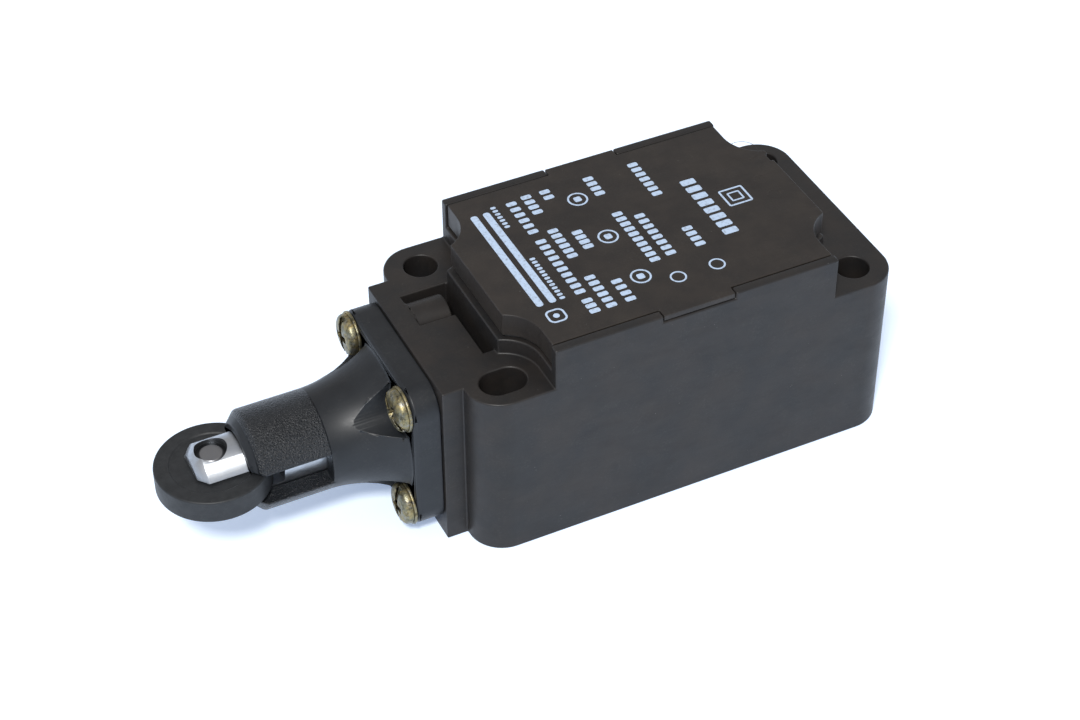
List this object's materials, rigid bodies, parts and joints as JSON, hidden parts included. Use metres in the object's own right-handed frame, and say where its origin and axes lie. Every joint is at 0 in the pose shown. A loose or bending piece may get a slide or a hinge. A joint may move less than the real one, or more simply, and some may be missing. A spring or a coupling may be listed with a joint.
{
  "type": "limit switch",
  "caption": "Plastic-cased limit switch with a roller plunger on a flanged side head, a lift-off cover, corner mounting holes and a threaded cable entry.",
  "frame": {"origin": "centre of the four mounting holes, on the flat back face", "axes": "+X along the housing from the roller end to the cable end, +Y across the housing, +Z out of the back face towards the cover"},
  "size_m": [0.1169, 0.0404, 0.0371],
  "materials": {
    "housing_plastic": "satin thermoplastic, dark brown-black",
    "cover_plastic": "satin thermoplastic, dark brown-black",
    "head_plastic": "satin thermoplastic, spark-eroded grain on the nose",
    "roller_plastic": "satin black plastic",
    "plunger_steel": "turned steel, lightly scratched",
    "chromated_steel": "zinc-plated steel, yellow chromated and worn",
    "spring_steel": "drawn wire",
    "seal_rubber": "matt rubber",
    "block_plastic": "matt thermoset",
    "carrier_plastic": "natural plastic",
    "contact_brass": "plain strip"
  },
  "bodies": {
    "housing": {"housing": "housing_plastic", "cover_gasket": "seal_rubber", "head_housing": "head_plastic", "head_gasket": "seal_rubber", "plunger_seal": "seal_rubber", "head_screws": "chromated_steel", "head_screw_washers": "chromated_steel", "return_spring": "spring_steel", "contact_block_base": "block_plastic", "contact_block_lid": "block_plastic", "block_screws": "chromated_steel", "nc_fixed_contact_left": "contact_brass", "nc_fixed_contact_right": "contact_brass", "no_fixed_contact_left": "contact_brass", "no_fixed_contact_right": "contact_brass", "terminal_clamps": "chromated_steel", "terminal_screws": "chromated_steel", "carrier_spring": "spring_steel"},
    "cover": {"cover": "cover_plastic"},
    "plunger": {"plunger": "plunger_steel", "roller_pin": "plunger_steel"},
    "roller": {"roller": "roller_plastic"},
    "contact_carrier": {"contact_carrier": "carrier_plastic", "nc_contact_bridge": "contact_brass", "no_contact_bridge": "contact_brass", "contact_spring": "spring_steel"}
  },
  "joints": [
    {"name": "plunger_travel", "type": "slide", "parent": "housing", "child": "plunger", "axis": [1, 0, 0], "range_m": [0, 0.0055], "stiffness_N_per_m": 1500, "springref_m": -0.004, "deforming": ["return_spring"]},
    {"name": "roller_spin", "type": "hinge", "parent": "plunger", "child": "roller", "pos_m": [-0.0711, 0, 0.0158], "axis": [0, 0, 1], "continuous": true},
    {"name": "contact_travel", "type": "slide", "parent": "housing", "child": "contact_carrier", "axis": [1, 0, 0], "range_m": [0, 0.0055], "deforming": ["carrier_spring"]},
    {"name": "cover_lift", "type": "slide", "parent": "housing", "child": "cover", "axis": [0, 0, 1], "range_m": [0, 0.02]}
  ],
  "couplings": [
    {"joint": "contact_travel", "follows": "plunger_travel", "ratio": 1}
  ]
}
